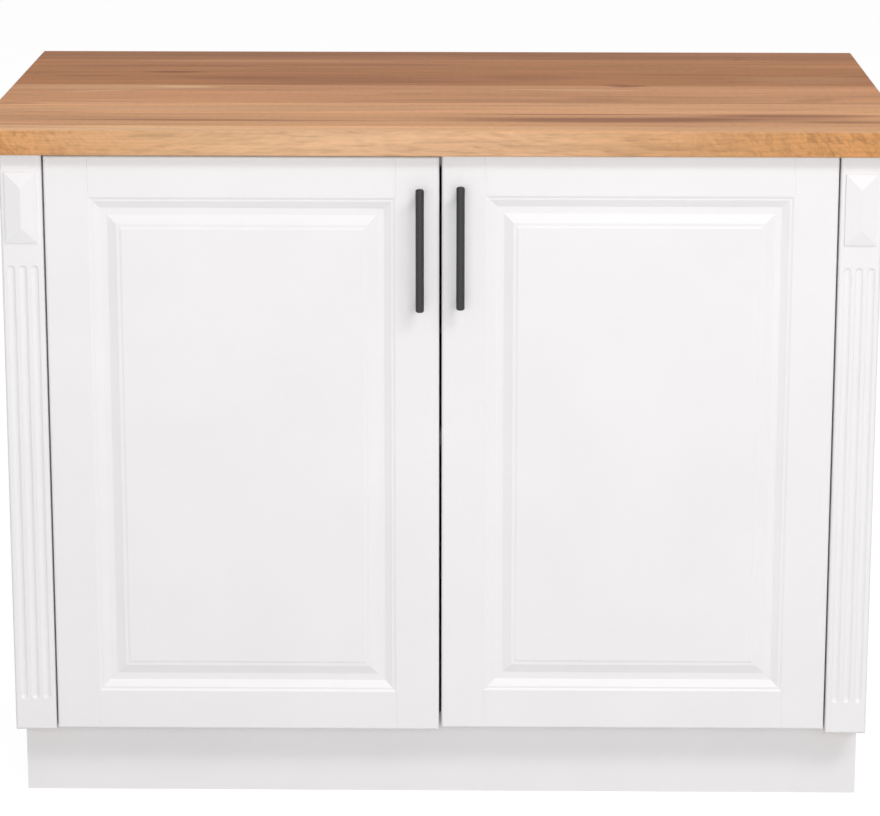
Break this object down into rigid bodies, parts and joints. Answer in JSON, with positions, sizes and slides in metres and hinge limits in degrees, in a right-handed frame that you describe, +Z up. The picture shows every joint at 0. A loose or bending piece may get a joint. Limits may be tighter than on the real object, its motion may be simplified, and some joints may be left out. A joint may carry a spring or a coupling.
{
  "type": "kitchen base cabinet",
  "caption": "Kitchen base cabinet with an oak worktop, white raised-panel doors on concealed hinges, black bar handles, fluted pilasters and a recessed plinth.",
  "frame": {"origin": "middle of the footprint on the floor", "axes": "+Z up, the doors face -Y, +X to the right of someone who stands in front"},
  "size_m": [1.1, 0.665, 0.85],
  "materials": {
    "oak": "oiled",
    "painted_door": "satin lacquer",
    "painted_board": "satin lacquer",
    "melamine_board": "white melamine, fine pearl texture",
    "backing_board": "white face, smooth",
    "softwood": "planed, untreated",
    "black_metal": "matt black powder coat",
    "nickel_steel": "nickel plated, satin",
    "zinc_steel": "bright zinc plated",
    "leg_plastic": "moulded, matt",
    "bumper_rubber": "clear soft dots"
  },
  "bodies": {
    "carcass": {"worktop": "oak", "worktop_screws": "zinc_steel", "left_side_panel": "melamine_board", "right_side_panel": "melamine_board", "bottom_panel": "melamine_board", "front_top_rail": "melamine_board", "rear_top_rail": "melamine_board", "back_panel": "backing_board", "shelf": "melamine_board", "shelf_pins": "zinc_steel", "left_end_panel": "painted_board", "right_end_panel": "painted_board", "left_filler_battens": "softwood", "right_filler_battens": "softwood", "left_pilaster": "painted_board", "right_pilaster": "painted_board", "front_plinth": "painted_board", "left_plinth_return": "painted_board", "right_plinth_return": "painted_board", "plinth_clips": "leg_plastic", "front_left_leg_socket": "leg_plastic", "front_right_leg_socket": "leg_plastic", "rear_left_leg_socket": "leg_plastic", "rear_right_leg_socket": "leg_plastic", "left_hinge_plates": "nickel_steel", "right_hinge_plates": "nickel_steel", "left_upper_hinge_arm": "nickel_steel", "left_lower_hinge_arm": "nickel_steel", "right_upper_hinge_arm": "nickel_steel", "right_lower_hinge_arm": "nickel_steel"},
    "front_left_foot": {"front_left_foot": "leg_plastic"},
    "front_right_foot": {"front_right_foot": "leg_plastic"},
    "rear_left_foot": {"rear_left_foot": "leg_plastic"},
    "rear_right_foot": {"rear_right_foot": "leg_plastic"},
    "left_hinge_links": {"left_hinge_links": "nickel_steel"},
    "right_hinge_links": {"right_hinge_links": "nickel_steel"},
    "left_door": {"left_door_hinge_stile": "painted_door", "left_door_meeting_stile": "painted_door", "left_door_top_rail": "painted_door", "left_door_bottom_rail": "painted_door", "left_door_panel": "painted_door", "left_door_upper_cup": "nickel_steel", "left_door_lower_cup": "nickel_steel", "left_door_bumpers": "bumper_rubber", "left_handle_bar": "black_metal", "left_handle_posts": "black_metal", "left_handle_screws": "zinc_steel"},
    "right_door": {"right_door_hinge_stile": "painted_door", "right_door_meeting_stile": "painted_door", "right_door_top_rail": "painted_door", "right_door_bottom_rail": "painted_door", "right_door_panel": "painted_door", "right_door_upper_cup": "nickel_steel", "right_door_lower_cup": "nickel_steel", "right_door_bumpers": "bumper_rubber", "right_handle_bar": "black_metal", "right_handle_posts": "black_metal", "right_handle_screws": "zinc_steel"}
  },
  "joints": [
    {"name": "left_door_hinge", "type": "hinge", "parent": "carcass", "child": "left_door", "pos_m": [-0.468, -0.2955, 0.459], "axis": [0, 0, -1], "range_deg": [0, 95]},
    {"name": "left_link_pivot", "type": "hinge", "parent": "carcass", "child": "left_hinge_links", "pos_m": [-0.468, -0.2955, 0.459], "axis": [0, 0, -1], "range_deg": [0, 47.5]},
    {"name": "right_door_hinge", "type": "hinge", "parent": "carcass", "child": "right_door", "pos_m": [0.468, -0.2955, 0.462], "axis": [0, 0, 1], "range_deg": [0, 95]},
    {"name": "right_link_pivot", "type": "hinge", "parent": "carcass", "child": "right_hinge_links", "pos_m": [0.468, -0.2955, 0.462], "axis": [0, 0, 1], "range_deg": [0, 47.5]},
    {"name": "front_left_foot_screw", "type": "slide", "parent": "carcass", "child": "front_left_foot", "axis": [0, 0, -1], "range_m": [0, 0.02]},
    {"name": "front_right_foot_screw", "type": "slide", "parent": "carcass", "child": "front_right_foot", "axis": [0, 0, -1], "range_m": [0, 0.02]},
    {"name": "rear_left_foot_screw", "type": "slide", "parent": "carcass", "child": "rear_left_foot", "axis": [0, 0, -1], "range_m": [0, 0.02]},
    {"name": "rear_right_foot_screw", "type": "slide", "parent": "carcass", "child": "rear_right_foot", "axis": [0, 0, -1], "range_m": [0, 0.02]}
  ],
  "couplings": [
    {"joint": "left_link_pivot", "follows": "left_door_hinge", "ratio": 0.5},
    {"joint": "right_link_pivot", "follows": "right_door_hinge", "ratio": 0.5}
  ]
}
